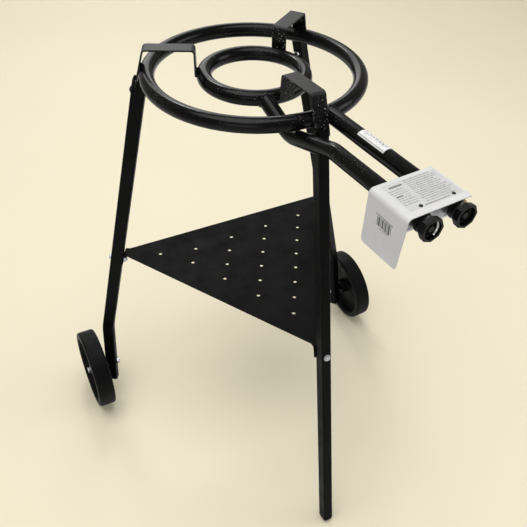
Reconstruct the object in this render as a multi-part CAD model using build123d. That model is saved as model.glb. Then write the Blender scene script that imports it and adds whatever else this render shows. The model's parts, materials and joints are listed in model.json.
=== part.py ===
from build123d import *
import math
import os

# Two-ring propane burner on a wheeled tripod, with pan brackets, a shelf and a two-valve
# control box. Millimetres, +Z up, floor at z = 0, origin under the middle of the footprint.
# The single foot points to -Y and the wheels stand at +Y, left (-X) and right (+X).
# Pieces are built about the ring axis with z = 0 in the ring plane, then moved to the floor.

os.makedirs("parts", exist_ok=True)

# ------------------------------------------------------------- shared sizes
RING_Z = 860.0               # outer ring's tube centre above the floor
MID_X, MID_Y = 6.2, -128.3   # middle of the footprint, from the ring axis
BURNER_TURN = 5.6            # degrees the burner sits round on its tripod
CTRL_TURN = 4.5              # degrees the feed pipes and control box sit round
LEFT, RIGHT = -1, 1

TUBE_R = 13.45               # 3/4 inch pipe, 26.9 outside diameter
TUBE_WALL = 2.0
TUBE_BORE_R = TUBE_R - TUBE_WALL
OUTER_RING_R = 186.5         # centre-line radii
INNER_RING_R = 88.3
INNER_RING_Z = -4.4
PIPE_X = 30.0                # feed pipes and valves either side of the control box middle

BURNER_FRAME = Location((-MID_X, -MID_Y, RING_Z))
CONTROL_FRAME = Location((-MID_X, -MID_Y, RING_Z), (0, 0, CTRL_TURN))
CONTROL_SPIN = Location((0, 0, 0), (0, 0, CTRL_TURN))


# ------------------------------------------------------------------ helpers
def save(name, frame, *pieces):
    """Move the pieces to the floor frame and write them as one file."""
    solids = [solid for piece in pieces for solid in piece.moved(frame).solids()]
    out = solids[0] if len(solids) == 1 else Compound(solids)
    out.label = name
    export_step(out, f"parts/{name}.step")


def biggest(shape):
    return sorted(shape.solids(), key=lambda solid: solid.volume)[-1]


def spin(azimuth):
    return Location((0, 0, 0), (0, 0, azimuth))


def directions(azimuth):
    """Level unit vectors outwards and across (anticlockwise) at an azimuth."""
    angle = math.radians(azimuth)
    outward = Vector(math.cos(angle), math.sin(angle), 0)
    return outward, Vector(-math.sin(angle), math.cos(angle), 0)


def corner_arc(corner, before, after, radius):
    """Start, middle and end of the arc that rounds a corner between two points."""
    back, ahead = (before - corner).normalized(), (after - corner).normalized()
    half = math.acos(max(-1, min(1, back.dot(ahead)))) / 2
    run = radius / math.tan(half)
    centre = corner + (back + ahead).normalized() * (radius / math.sin(half))
    middle = centre + (corner - centre).normalized() * radius
    return corner + back * run, middle, corner + ahead * run


def rounded(corners):
    """Closed face from (x, y, radius) corners; radius 0 leaves a corner sharp."""
    points = [Vector(x, y) for x, y, _ in corners]
    count = len(points)
    starts, ends, arcs = list(points), list(points), {}
    for i, (_, _, radius) in enumerate(corners):
        if radius > 0:
            arc = corner_arc(points[i], points[i - 1], points[(i + 1) % count], radius)
            starts[i], ends[i] = arc[0], arc[2]
            arcs[i] = ThreePointArc(*arc)
    loop = []
    for i in range(count):
        if i in arcs:
            loop.append(arcs[i])
        following = starts[(i + 1) % count]
        if (following - ends[i]).length > 1e-6:
            loop.append(Line(ends[i], following))
    return make_face(loop)


def rod(start, end, radius):
    start, end = Vector(*start), Vector(*end)
    run = end - start
    return extrude(Plane(origin=start, z_dir=run) * Circle(radius), amount=run.length)


def hex_bar(start, end, across, chamfer_end=0.0):
    """Hexagonal bar; its corners at the far end may be turned off to a cone."""
    start, end = Vector(*start), Vector(*end)
    run = end - start
    plane = Plane(origin=start, z_dir=run)
    bar = extrude(plane * RegularPolygon(across / 2, 6, major_radius=False), amount=run.length)
    if chamfer_end:
        corner_r = across / 2 / math.cos(math.radians(30))
        blank = plane * Pos(0, 0, run.length / 2) * Cylinder(corner_r + 0.01, run.length)
        far_rim = [e for e in blank.edges() if e.geom_type == GeomType.CIRCLE
                   and abs((e.center() - start).dot(run.normalized()) - run.length) < 1e-6]
        bar = bar & chamfer(far_rim, length=chamfer_end, length2=chamfer_end * 1.7)
    return biggest(bar)


def hex_nut(seat, away, across, bore_r):
    """Nut 5 mm high that stands off its seat in the unit direction away."""
    return biggest(hex_bar(seat, seat + away * 5.0, across)
                   - rod(seat - away, seat + away * 6.0, bore_r))


def dome_head(seat, away, radius, height):
    """Domed head with a 0.8 mm straight rim, standing off its seat."""
    rise = height - 0.8
    ball_r = (radius * radius + rise * rise) / (2 * rise)
    head = Pos(0, 0, height / 2) * Cylinder(radius, height)
    head = head & Pos(0, 0, height - ball_r) * Sphere(ball_r)
    return Plane(origin=Vector(*seat), z_dir=Vector(*away)) * head


def side_plane(x):
    """Plane at x facing +X; its axes run along +Y and +Z."""
    return Plane(origin=(x, 0, 0), x_dir=(0, 1, 0), z_dir=(1, 0, 0))


def front_plane(x, y):
    """Plane at y facing -Y; its axes run along +X and +Z."""
    return Plane(origin=(x, y, 0), x_dir=(1, 0, 0), z_dir=(0, -1, 0))


# -------------------------------------------------------------------- rings
PORT_D = 2.2             # gas ports
PORT_PITCH = 11.0
PORT_TILT = 42.0         # ports look inwards and this far up
PORT_OVERRUN = 1.5       # cutter runs past both sides of the wall
INLET_R = 10.0           # gas opening from a feed pipe into its ring

OUTER_FEED_Y = -math.sqrt(OUTER_RING_R ** 2 - PIPE_X ** 2)  # feeds meet ring centre lines
INNER_FEED_Y = -math.sqrt(INNER_RING_R ** 2 - PIPE_X ** 2)
FEED_END_Y = -430.0
INNER_FEED_BEND_R = 48
# (y, z) corners of the inner feed pipe, from the ring to the control box
INNER_FEED_PATH = [(INNER_FEED_Y - 4.0, -6.4), (-166.0, -34.5), (-285.0, 0.0), (FEED_END_Y, 0.0)]
INNER_FEED_START = Vector(-PIPE_X, *INNER_FEED_PATH[0])
INNER_FEED_WAY = (Vector(-PIPE_X, *INNER_FEED_PATH[1]) - INNER_FEED_START).normalized()


def ring_torus(radius, ring_z, gap=0.0):
    return Pos(0, 0, ring_z) * Torus(radius, TUBE_R + gap)


def port_cutter(radius, azimuth):
    tilt = math.radians(PORT_TILT)
    aim = Vector(-math.cos(tilt), 0, math.sin(tilt))
    return rod(aim * (TUBE_BORE_R - PORT_OVERRUN), aim * (TUBE_R + PORT_OVERRUN), PORT_D / 2), \
        spin(azimuth) * Location((radius, 0, 0))


def ring(radius, ring_z, inlet):
    """Hollow ring: four drilled quarter bends, their walls sewn into one closed skin."""
    ports = int(round(2 * math.pi * radius / PORT_PITCH / 4))
    section = Plane.XZ * Pos(radius, ring_z, 0) * (Circle(TUBE_R) - Circle(TUBE_BORE_R))
    cutters = []
    for i in range(ports):
        cutter, place = port_cutter(radius, 90.0 / ports * (i + 0.5))
        cutters.append(cutter.moved(Location((0, 0, ring_z)) * place))
    quarter = biggest(revolve(section, Axis.Z, 90) - cutters)
    inlet_azimuth = math.degrees(math.atan2(inlet.center().Y, inlet.center().X)) % 360
    walls = []
    for start in (0, 90, 180, 270):
        piece = quarter.moved(spin(start))
        if start < inlet_azimuth < start + 90:
            piece = biggest(piece - inlet)
        walls += [f for f in piece.faces() if f.geom_type != GeomType.PLANE]
    solid = Solid(Shell(walls))
    if solid.volume > 0:
        return solid
    # the sewn skin may come out facing inwards
    return Solid(Shell(list(solid.faces()))).fix()


def outer_ring():
    inlet = rod((PIPE_X, OUTER_FEED_Y, 0), (PIPE_X, OUTER_FEED_Y - 20, 0), INLET_R)
    return ring(OUTER_RING_R, 0.0, inlet.moved(CONTROL_SPIN))


def inner_ring():
    inlet = rod(INNER_FEED_START - INNER_FEED_WAY * 6, INNER_FEED_START + INNER_FEED_WAY * 16,
                INLET_R)
    return ring(INNER_RING_R, INNER_RING_Z, inlet.moved(CONTROL_SPIN))


def outer_feed_pipe():
    """Straight pipe, its end shaped to the outer ring."""
    pipe = rod((PIPE_X, OUTER_FEED_Y - 3.0, 0), (PIPE_X, FEED_END_Y, 0), TUBE_R)
    pipe = pipe - rod((PIPE_X, OUTER_FEED_Y + 5.0, 0), (PIPE_X, FEED_END_Y - 1.0, 0), TUBE_BORE_R)
    return biggest(pipe.moved(CONTROL_SPIN) - Torus(OUTER_RING_R, TUBE_R))


def inner_feed_pipe():
    """Pipe that dips under the outer ring, its end shaped to the inner ring."""
    path = side_plane(-PIPE_X) * FilletPolyline(*INNER_FEED_PATH, radius=INNER_FEED_BEND_R)
    wire = path.wires()[0]
    section = Plane(origin=INNER_FEED_START, z_dir=INNER_FEED_WAY)
    pipe = sweep(section * Circle(TUBE_R), path=wire)
    bore = sweep(section * Circle(TUBE_BORE_R), path=wire)
    return biggest((pipe - bore).moved(CONTROL_SPIN) - ring_torus(INNER_RING_R, INNER_RING_Z))


save("outer_ring", BURNER_FRAME, outer_ring())
save("inner_ring", BURNER_FRAME, inner_ring())
save("outer_feed_pipe", BURNER_FRAME, outer_feed_pipe())
save("inner_feed_pipe", BURNER_FRAME, inner_feed_pipe())

# ------------------------------------------------------- leg lines and tube
LEG_A = 25.0             # leg tube, radial size
LEG_B = 20.0             # leg tube, tangential size
LEG_WALL = 1.5
LEG_TOP_Z = -14.0
BOLT_Z = -37.0           # bolts through the pan brackets
SHELF_BOLT_Z = -440.0
BOLT_R = 3.0
BOLT_HOLE_R = 3.2

LEG_OUTLINE = RectangleRounded(LEG_A, LEG_B, 3.0)
LEG_BORE = RectangleRounded(LEG_A - 2 * LEG_WALL, LEG_B - 2 * LEG_WALL, 1.5)


class Leg:
    """Centre line of a leg's upper straight run, from two points and its nominal azimuth."""

    def __init__(self, top, low, azimuth, bracket_azimuth):
        self.azimuth, self.bracket_azimuth = azimuth, bracket_azimuth
        self.top, self.low = Vector(*top), Vector(*low)
        self.down = (self.low - self.top).normalized()
        self.radial, self.across = directions(azimuth)
        normal = self.down.cross(self.across).normalized()
        # outward normal of the outer face
        self.normal = normal if normal.dot(self.radial) > 0 else normal * -1

    def at(self, z):
        return self.top + self.down * ((z - self.top.Z) / self.down.Z)

    def section(self, origin):
        return Plane(origin=origin, x_dir=self.normal, z_dir=self.down)


FRONT_LEG = Leg((19.8, -201.9, -30.0), (-21.0, -395.0, -860.0), 270.0, 270.0 + BURNER_TURN)
LEFT_LEG = Leg((-184.9, 83.9, -30.0), (-299.0, 177.6, -662.0), 150.0, 150.0 + BURNER_TURN)
# the right bracket sits a little further round than the others
RIGHT_LEG = Leg((160.3, 124.3, -30.0), (308.0, 160.5, -662.0), 30.0, 38.2)
LEGS = {"front": FRONT_LEG, "left": LEFT_LEG, "right": RIGHT_LEG}
WHEEL_LEGS = {LEFT: LEFT_LEG, RIGHT: RIGHT_LEG}

# ------------------------------------------------------------- pan brackets
STRIP_W = 28.0
STRIP_T = 3.0
BAR_TOP = 44.4           # top of the brackets above the ring plane
ARM_SLOPE = 0.2815       # outward run of the outer arm per mm of drop
ARM_R = 203.0            # outer face of the outer arm at the ring plane
ARM_T = STRIP_T * math.hypot(1, ARM_SLOPE)    # horizontal thickness of the outer arm
INNER_ARM_R = INNER_RING_R + TUBE_R - 0.8     # let into the inner ring's outside
INNER_ARM_Z = -3.5       # lower end of the inner arm
FRONT_LEAN = 5.5         # outward lean of the front bracket's inner arm
SEAT_GAP = 0.05          # weld gap between a bracket and a ring
TONGUE_W = 12.0          # narrow end of the outer arm, inside the leg
TONGUE_Z = -45.5
TONGUE_ROOT_Z = -32
SHOULDER_Z = -24
SLOT_GAP = 0.25          # clearance each side of the outer arm in the leg's slot
SLOT_TOP_Z, SLOT_FOOT_Z = 5, -33.4


def arm_face(z):
    """Radius of the outer arm's outer face."""
    return ARM_R - ARM_SLOPE * z


def bracket_strip(lean):
    """Bent strip; lean moves the top of the inner arm outwards."""
    under = BAR_TOP - STRIP_T
    profile = rounded([
        (INNER_ARM_R, INNER_ARM_Z, 0),
        (INNER_ARM_R + lean, BAR_TOP, 7.5),
        (arm_face(BAR_TOP), BAR_TOP, 7.5),
        (arm_face(TONGUE_Z), TONGUE_Z, 0),
        (arm_face(TONGUE_Z) - ARM_T, TONGUE_Z, 0),
        (arm_face(under) - ARM_T, under, 4.5),
        (INNER_ARM_R + STRIP_T + lean * 0.93, under, 4.5),
        (INNER_ARM_R + STRIP_T, INNER_ARM_Z, 0),
    ])
    return extrude(Plane.XZ * profile, amount=STRIP_W / 2 + 1, both=True)


def strip_outline(shift):
    """Strip seen end-on; shift moves the tongue sideways onto the axis of its leg."""
    half, tip = STRIP_W / 2, TONGUE_Z - 0.5
    left, right = shift - TONGUE_W / 2, shift + TONGUE_W / 2
    outline = rounded([
        (-half, 60, 0), (half, 60, 0), (half, SHOULDER_Z, 1.5), (right, TONGUE_ROOT_Z, 1.0),
        (right, tip, 0), (left, tip, 0), (left, TONGUE_ROOT_Z, 1.0), (-half, SHOULDER_Z, 1.5),
    ])
    return extrude(Plane.YZ * outline, amount=240)


def pot_bracket(leg):
    is_front = leg is FRONT_LEG
    radial, across = directions(leg.bracket_azimuth)
    z = -40                                    # height at which the tongue meets the leg axis
    arm_middle = arm_face(z) - ARM_T / 2
    shift = leg.at(z).dot(leg.across) - arm_middle * radial.dot(leg.across)
    shift /= across.dot(leg.across)
    bracket = bracket_strip(FRONT_LEAN if is_front else 0.0) & strip_outline(shift)
    bracket = bracket.moved(spin(leg.bracket_azimuth))
    bracket = bracket - Torus(OUTER_RING_R, TUBE_R + SEAT_GAP)
    bracket = bracket - ring_torus(INNER_RING_R, INNER_RING_Z, SEAT_GAP)
    bolt = leg.at(BOLT_Z)
    bracket = bracket - rod(bolt - leg.normal * 20, bolt + leg.normal * 20, BOLT_R)
    if is_front:                               # clear of the outer feed pipe
        notch = rod((PIPE_X, -150, 0), (PIPE_X, -260, 0), TUBE_R + 0.3)
        bracket = bracket - notch.moved(CONTROL_SPIN)
    return biggest(bracket)


for name, leg in LEGS.items():
    save(f"pot_bracket_{name}", BURNER_FRAME, pot_bracket(leg))


# ---------------------------------------------------------------- front leg
CAP_H = 8.0
CAP_ROUND = 5.5
FLAT_CUT = 0.5           # depth of the small flat under the foot cap
CAP_SPIGOT = 16


def cut_leg(tube, leg):
    """Cut the bracket slot, open at the leg's top, and the two bolt holes."""
    slot = make_face(Polyline(
        (arm_face(SLOT_TOP_Z) + SLOT_GAP, SLOT_TOP_Z),
        (arm_face(SLOT_FOOT_Z) + SLOT_GAP, SLOT_FOOT_Z),
        (arm_face(SLOT_FOOT_Z) - ARM_T - SLOT_GAP, SLOT_FOOT_Z),
        (arm_face(SLOT_TOP_Z) - ARM_T - SLOT_GAP, SLOT_TOP_Z), close=True))
    cutter = extrude(Plane.XZ * slot, amount=22, both=True)
    tube = tube - cutter.moved(spin(leg.bracket_azimuth))
    for z in (BOLT_Z, SHELF_BOLT_Z):
        bolt = leg.at(z)
        tube = tube - rod(bolt - leg.normal * 16, bolt + leg.normal * 16, BOLT_HOLE_R)
    return biggest(tube)


def cap_dome():
    """Solid end of the foot cap, its upper face at the origin."""
    dome = extrude(FRONT_LEG.section(Vector(0, 0, 0)) * LEG_OUTLINE, amount=CAP_H)
    end_edges = [e for e in dome.edges()
                 if abs(e.center().dot(FRONT_LEG.down) - CAP_H) < 0.01]
    return fillet(end_edges, CAP_ROUND)


def front_leg(end):
    top = FRONT_LEG.at(LEG_TOP_Z)
    tube = extrude(FRONT_LEG.section(top) * (LEG_OUTLINE - LEG_BORE), amount=(end - top).length)
    return cut_leg(tube, FRONT_LEG)


def foot_cap(dome, end):
    """Domed cap with a hollow spigot up the leg and a flat on the floor."""
    down = FRONT_LEG.down
    hollow = RectangleRounded(LEG_A - 2 * LEG_WALL - 5, LEG_B - 2 * LEG_WALL - 5, 1)
    spigot = extrude(FRONT_LEG.section(end - down * CAP_SPIGOT) * LEG_BORE, amount=CAP_SPIGOT)
    spigot = spigot - extrude(FRONT_LEG.section(end - down * (CAP_SPIGOT + 1)) * hollow, amount=14)
    cap = dome.moved(Location(end)) + spigot
    above_floor = Pos(0, 0, -RING_Z + 100) * Pos(end.X, end.Y, 0) * Box(200, 200, 200)
    return biggest(cap & above_floor)


dome = cap_dome()
front_end = FRONT_LEG.at(-RING_Z - FLAT_CUT - dome.bounding_box().min.Z)
save("leg_front", BURNER_FRAME, front_leg(front_end))
save("foot_cap", BURNER_FRAME, foot_cap(dome, front_end))

# --------------------------------------------------------------- wheel legs
WHEEL_R = 93.0
WHEEL_W = 38.0
TYRE_ROUND = 5.0
WHEEL_X = {LEFT: 350.0, RIGHT: 355.0}      # wheel centres
WHEEL_Y = {LEFT: 160.0, RIGHT: 150.0}
CAMBER = {LEFT: 0.5, RIGHT: 4.8}           # degrees the wheel tops lean inwards
LEG_X = {LEFT: 311.0, RIGHT: 316.0}        # where the axles cross the legs
TIP_Z = {LEFT: -808.0, RIGHT: -811.0}      # lower ends of the legs
BEND_R = 60.0
AXLE_R = 4.0
SLEEVE_R = 8.0
SLEEVE_OUT, SLEEVE_IN = 17.7, 12.5         # sleeve ends, outwards and inwards from the leg
PLUG_FLANGE = 3.5
PLUG_SPIGOT = 12


def axle(side):
    """Where an axle crosses its leg, its direction inwards, and the wheel's centre."""
    lean = math.radians(CAMBER[side])
    cos_lean, sin_lean = math.cos(lean), math.sin(lean)
    reach = WHEEL_X[side] - LEG_X[side]
    # the tyre's inner or outer round just touches the floor
    wheel_z = ((WHEEL_R - TYRE_ROUND) * cos_lean + (WHEEL_W / 2 - TYRE_ROUND) * sin_lean
               + TYRE_ROUND - RING_Z)
    crossing = Vector(side * LEG_X[side], WHEEL_Y[side], wheel_z - reach * sin_lean / cos_lean)
    inward = Vector(-side * cos_lean, 0, -sin_lean)
    return crossing, inward, crossing - inward * (reach / cos_lean)


def wheel_leg(side):
    """Tube with one bend, and its end plug."""
    leg = WHEEL_LEGS[side]
    crossing, inward, _ = axle(side)
    lower = (crossing - leg.low).normalized()              # down the run below the bend
    end = leg.low + lower * ((TIP_Z[side] - leg.low.Z) / lower.Z)
    top = leg.at(LEG_TOP_Z)
    bend = corner_arc(leg.low, top, end, BEND_R)
    path = Wire([Edge.make_line(top, bend[0]), Edge.make_three_point_arc(*bend),
                 Edge.make_line(bend[2], end)])
    outer = sweep(leg.section(top) * LEG_OUTLINE, path=path)
    inner = sweep(leg.section(top) * LEG_BORE, path=path)
    tube = biggest(outer - inner)
    tube = tube - rod(crossing - inward * 30, crossing + inward * 30, SLEEVE_R)

    # the plug takes its direction from the longest straight edge of the swept end
    end_face = [f for f in outer.faces()
                if (f.center() - end).length < 1.5 and f.geom_type == GeomType.PLANE][0]
    longest = sorted([e for e in end_face.edges() if e.geom_type == GeomType.LINE],
                     key=lambda e: e.length)[-1]
    x_dir = (longest.position_at(1) - longest.position_at(0)).normalized()
    flange = extrude(Plane(origin=end, x_dir=x_dir, z_dir=lower) * LEG_PLUG_OUTLINE(),
                     amount=PLUG_FLANGE)
    rim = [e for e in flange.edges() if abs((e.center() - end).dot(lower) - PLUG_FLANGE) < 0.05]
    flange = chamfer(rim, 1.6)
    spigot_plane = Plane(origin=end - lower * PLUG_SPIGOT, x_dir=x_dir, z_dir=lower)
    plug = flange + extrude(spigot_plane * LEG_BORE, amount=PLUG_SPIGOT)
    return cut_leg(tube, leg), biggest(plug)


def LEG_PLUG_OUTLINE():
    return RectangleRounded(LEG_A, LEG_B, 3.0)


def axle_sleeve(side):
    crossing, inward, _ = axle(side)
    sleeve = rod(crossing - inward * SLEEVE_OUT, crossing + inward * SLEEVE_IN, SLEEVE_R)
    return biggest(sleeve - rod(crossing - inward * 30, crossing + inward * 30, AXLE_R))


left_tube, left_plug = wheel_leg(LEFT)
right_tube, right_plug = wheel_leg(RIGHT)
save("leg_left", BURNER_FRAME, left_tube)
save("leg_right", BURNER_FRAME, right_tube)
save("leg_end_plugs", BURNER_FRAME, left_plug, right_plug)
save("axle_sleeves", BURNER_FRAME, axle_sleeve(LEFT), axle_sleeve(RIGHT))

# ---------------------------------------------------------------- leg bolts
SHELF_T = 2.0
BOLT_TAIL = 7.5          # shank beyond the nut's seat
NUT_ACROSS = 10.0
BOLT_FLANGE_R = 6.8      # also the radius of the domed heads


def top_fixing(leg):
    """Dome-headed bolt and its nut, through a leg and its bracket."""
    bolt, normal = leg.at(BOLT_Z), leg.normal
    outer_seat, inner_seat = bolt + normal * (LEG_A / 2), bolt - normal * (LEG_A / 2)
    shank = rod(outer_seat, inner_seat - normal * BOLT_TAIL, BOLT_R)
    head = dome_head(outer_seat, normal, BOLT_FLANGE_R, 4.0)
    return biggest(shank + head), hex_nut(inner_seat, normal * -1, NUT_ACROSS, BOLT_R)


def shelf_fixing(leg):
    """Flanged hexagon bolt and its nut, through a leg and a shelf tab."""
    bolt, normal = leg.at(SHELF_BOLT_Z), leg.normal
    outer_seat, inner_seat = bolt + normal * (LEG_A / 2), bolt - normal * (LEG_A / 2 + SHELF_T)
    shank = rod(outer_seat, inner_seat - normal * BOLT_TAIL, BOLT_R)
    head = hex_bar(outer_seat, outer_seat + normal * 4.2, NUT_ACROSS, 0.6)
    flange = rod(outer_seat, outer_seat + normal * 1.2, BOLT_FLANGE_R)
    return biggest(shank + head + flange), hex_nut(inner_seat, normal * -1, NUT_ACROSS, BOLT_R)


for prefix, fixing in (("leg_top", top_fixing), ("shelf", shelf_fixing)):
    bolts, nuts = zip(*[fixing(leg) for leg in LEGS.values()])
    save(f"{prefix}_bolts", BURNER_FRAME, *bolts)
    save(f"{prefix}_nuts", BURNER_FRAME, *nuts)

# -------------------------------------------------------------------- shelf
SHELF_Z = -428.4         # middle of the sheet
SHELF_TOP, SHELF_UNDER = SHELF_Z + SHELF_T / 2, SHELF_Z - SHELF_T / 2
SHELF_CORNER_R = 271.0
TAB_W = 27.0
TAB_ROOT_R = 255
TAB_END_Z = -452.5
HOLE_R = 3.6
HOLE_PITCH = 46.46       # within a row
HOLE_AZIMUTH = 150       # rows lie across this direction
# rows of holes: distance from the ring axis towards HOLE_AZIMUTH, number of holes
HOLE_ROWS = [(203.2, 1), (130.3, 2), (57.3, 4), (-15.6, 6), (-88.5, 8)]


def shelf_tab(leg):
    """Tab bent down against the inner face of a leg."""
    foot = leg.at(SHELF_BOLT_Z) - leg.normal * (LEG_A / 2)
    normal_r, normal_z = leg.normal.dot(leg.radial), leg.normal.Z

    def face_r(z):
        return foot.dot(leg.radial) - normal_z / normal_r * (z - foot.Z)

    thickness = SHELF_T / normal_r             # measured level
    profile = rounded([
        (TAB_ROOT_R, SHELF_TOP, 0), (face_r(SHELF_TOP), SHELF_TOP, 3.5),
        (face_r(TAB_END_Z), TAB_END_Z, 0), (face_r(TAB_END_Z) - thickness, TAB_END_Z, 0),
        (face_r(SHELF_UNDER) - thickness, SHELF_UNDER, 1.5), (TAB_ROOT_R, SHELF_UNDER, 0),
    ])
    return extrude(Plane.XZ * profile, amount=TAB_W / 2, both=True).moved(spin(leg.azimuth))


def shelf():
    """Three-cornered sheet with a tab on each leg and rows of holes."""
    corners = []
    for leg in (FRONT_LEG, RIGHT_LEG, LEFT_LEG):
        for side in (-1, 1):
            corner = leg.radial * SHELF_CORNER_R + leg.across * (side * TAB_W / 2)
            corners.append((corner.X, corner.Y))
    outline = make_face(Polyline(*corners, close=True))
    sheet = extrude(Plane(origin=(0, 0, SHELF_UNDER)) * outline, amount=SHELF_T)
    for leg in LEGS.values():
        bolt = leg.at(SHELF_BOLT_Z)
        sheet = sheet + shelf_tab(leg)
        sheet = sheet - rod(bolt - leg.normal * 20, bolt - leg.normal * 8, BOLT_HOLE_R)
    along, across = directions(HOLE_AZIMUTH)
    holes = []
    for distance, count in HOLE_ROWS:
        for k in range(count):
            hole = along * distance + across * ((k - (count - 1) / 2) * HOLE_PITCH)
            holes.append(rod((hole.X, hole.Y, SHELF_UNDER - 1), (hole.X, hole.Y, SHELF_TOP + 1),
                             HOLE_R))
    return biggest(sheet - holes)


save("shelf", BURNER_FRAME, shelf())

# ------------------------------------------------------------------- wheels
HALF_W = WHEEL_W / 2
HUB_IN, HUB_OUT = -HALF_W - 2.0, 12.0      # hub ends along the axle, + outwards
HUB_BORE_R = 6.5
BUSH_BORE_R = AXLE_R + 0.05
END_FLOAT = 0.3
WASHER_T = 1.6
AXLE_HEAD_H = 5.3
AXLE_HEX = 13.0
# half section: radius, distance along the axle (+ outwards), corner radius
WHEEL_PROFILE = [
    (WHEEL_R, HALF_W, TYRE_ROUND), (WHEEL_R, -HALF_W, TYRE_ROUND), (78.5, -HALF_W, 1.5),
    (75.0, -3.0, 3.0), (19.5, -3.0, 3.0), (17.5, HUB_IN, 1.0),
    (HUB_BORE_R, HUB_IN, 0), (HUB_BORE_R, HUB_OUT, 0), (17.0, HUB_OUT, 1.5),
    (19.0, 2.0, 3.0), (73.0, 2.0, 4.0), (78.5, HALF_W, 1.5),
]


def wheel_and_bush(side):
    _, inward, centre = axle(side)
    plane = Plane(origin=centre, x_dir=(0, 1, 0), z_dir=inward * -1)
    bush = make_face(Polyline((BUSH_BORE_R, HUB_IN), (HUB_BORE_R, HUB_IN),
                              (HUB_BORE_R, HUB_OUT), (BUSH_BORE_R, HUB_OUT), close=True))
    return [biggest(plane * revolve(Plane.XZ * face, Axis.Z))
            for face in (rounded(WHEEL_PROFILE), bush)]


def axle_fixing(side):
    """Bolt, nut and washer of one wheel."""
    crossing, inward, centre = axle(side)
    outward = inward * -1
    face = centre + outward * (HUB_OUT + END_FLOAT)
    seat = face + outward * WASHER_T
    washer = rod(face, seat, 8.0) - rod(face - outward, face + outward * 3, AXLE_R)
    inner_end = crossing + inward * SLEEVE_IN
    bolt = rod(seat, inner_end + inward * 7.0, AXLE_R)
    bolt = bolt + hex_bar(seat, seat + outward * AXLE_HEAD_H, AXLE_HEX, 0.7)
    return biggest(bolt), hex_nut(inner_end, inward, AXLE_HEX, AXLE_R), biggest(washer)


for side, name in ((LEFT, "left"), (RIGHT, "right")):
    wheel, bush = wheel_and_bush(side)
    save(f"wheel_{name}", BURNER_FRAME, wheel)
    save(f"wheel_bush_{name}", BURNER_FRAME, bush)
axle_parts = zip(axle_fixing(LEFT), axle_fixing(RIGHT))
for name, pair in zip(("bolts", "nuts", "washers"), axle_parts):
    save(f"axle_{name}", BURNER_FRAME, *pair)

# -------------------------------------------------------------- control box
# Control frame: +Y towards the rings, valves at x = -PIPE_X and PIPE_X, pipe axes at z = 0
PANEL_Y = -478.5         # front face of the channel
PANEL_T = 1.8
PANEL_BACK = PANEL_Y + PANEL_T
COVER_T = 1.2
COVER_TOP = 17
COVER_LEFT = -60
NECK_R = 8.0             # collar necks and their holes in the channel
SCREW_R = 1.5
SCREWS = [(-25.5, -473.6), (32.5, -473.6)]     # x, y
# channel section: y, z, corner radius
CHANNEL_PROFILE = [
    (-414.0, -16.0, 0), (-414.0, 15.8, 2.6), (PANEL_Y, 15.8, 3.6), (PANEL_Y, -15.0, 3.6),
    (-470.0, -15.0, 0), (-470.0, -13.2, 0), (PANEL_BACK, -13.2, 1.8), (PANEL_BACK, 14.0, 1.8),
    (-415.8, 14.0, 0.8), (-415.8, -16.0, 0),
]
# cover section: x, z, corner radius
COVER_PROFILE = [
    (51, COVER_TOP, 0), (COVER_LEFT, COVER_TOP, 8), (COVER_LEFT, -75, 0),
    (COVER_LEFT + COVER_T, -75, 0), (COVER_LEFT + COVER_T, COVER_TOP - COVER_T, 8 - COVER_T),
    (51, COVER_TOP - COVER_T, 0),
]
# cover seen from the side: y, z, corner radius
COVER_SIDE = [(-490, 20, 0), (-407, 20, 0), (-407, 9, 6), (-402.5, -75, 7), (-480, -75, 5),
              (-490, 6, 6)]


def y_rod(x, start, end, radius):
    return rod((x, start, 0), (x, end, 0), radius)


def fused(x, steps):
    """Rods on a valve axis joined in turn; steps are (start y, end y, radius)."""
    shape = y_rod(x, *steps[0])
    for step in steps[1:]:
        shape = shape + y_rod(x, *step)
    return shape


def bored(shape, x, steps):
    """Holes cut in turn along a valve axis; steps are (start y, end y, radius)."""
    for step in steps:
        shape = shape - y_rod(x, *step)
    return shape


def screw_holes(shape, radius):
    for x, y in SCREWS:
        shape = shape - rod((x, y, 10), (x, y, 20), radius)
    return shape


def control_bracket():
    """Folded channel that joins the feed pipes and carries the valves."""
    channel = extrude(side_plane(-58.0) * rounded(CHANNEL_PROFILE), amount=107.0)
    corner = make_face(Polyline((-60, 6.5), (-60, 18), (-49.0, 18), close=True))
    channel = channel - extrude(front_plane(0, -400) * corner, amount=90)
    for x in (-PIPE_X, PIPE_X):
        channel = bored(channel, x, [(-410, -420, TUBE_R), (-474, -482, NECK_R)])
    return biggest(screw_holes(channel, SCREW_R))


def control_cover():
    """Thin cover over the top and the left side."""
    cover = extrude(front_plane(0, -398) * rounded(COVER_PROFILE), amount=95)
    cover = cover & extrude(side_plane(-70) * rounded(COVER_SIDE), amount=130)
    return biggest(screw_holes(cover, 1.7))


def cover_screw(x, y):
    shank = rod((x, y, 11.0), (x, y, COVER_TOP), SCREW_R)
    return biggest(shank + dome_head((x, y, COVER_TOP), (0, 0, 1), 2.9, 1.9))


save("control_bracket", CONTROL_FRAME, control_bracket())
save("control_cover", CONTROL_FRAME, control_cover())
save("cover_screws", CONTROL_FRAME, *[cover_screw(x, y) for x, y in SCREWS])

# ----------------------------------------------------- manifold and nozzle
VALVE_Y = -458.0         # middle of the valve bodies and axis of the manifold
MANIFOLD_Z = -24.0
MANIFOLD_R = 9.0
MANIFOLD_END = 45        # right end
BRANCH_R = 6.0           # bosses under the valves, and the nozzle's spigot
NOZZLE_TIP = 79


def manifold_rod(start, end, radius):
    return rod((start, VALVE_Y, MANIFOLD_Z), (end, VALVE_Y, MANIFOLD_Z), radius)


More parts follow.
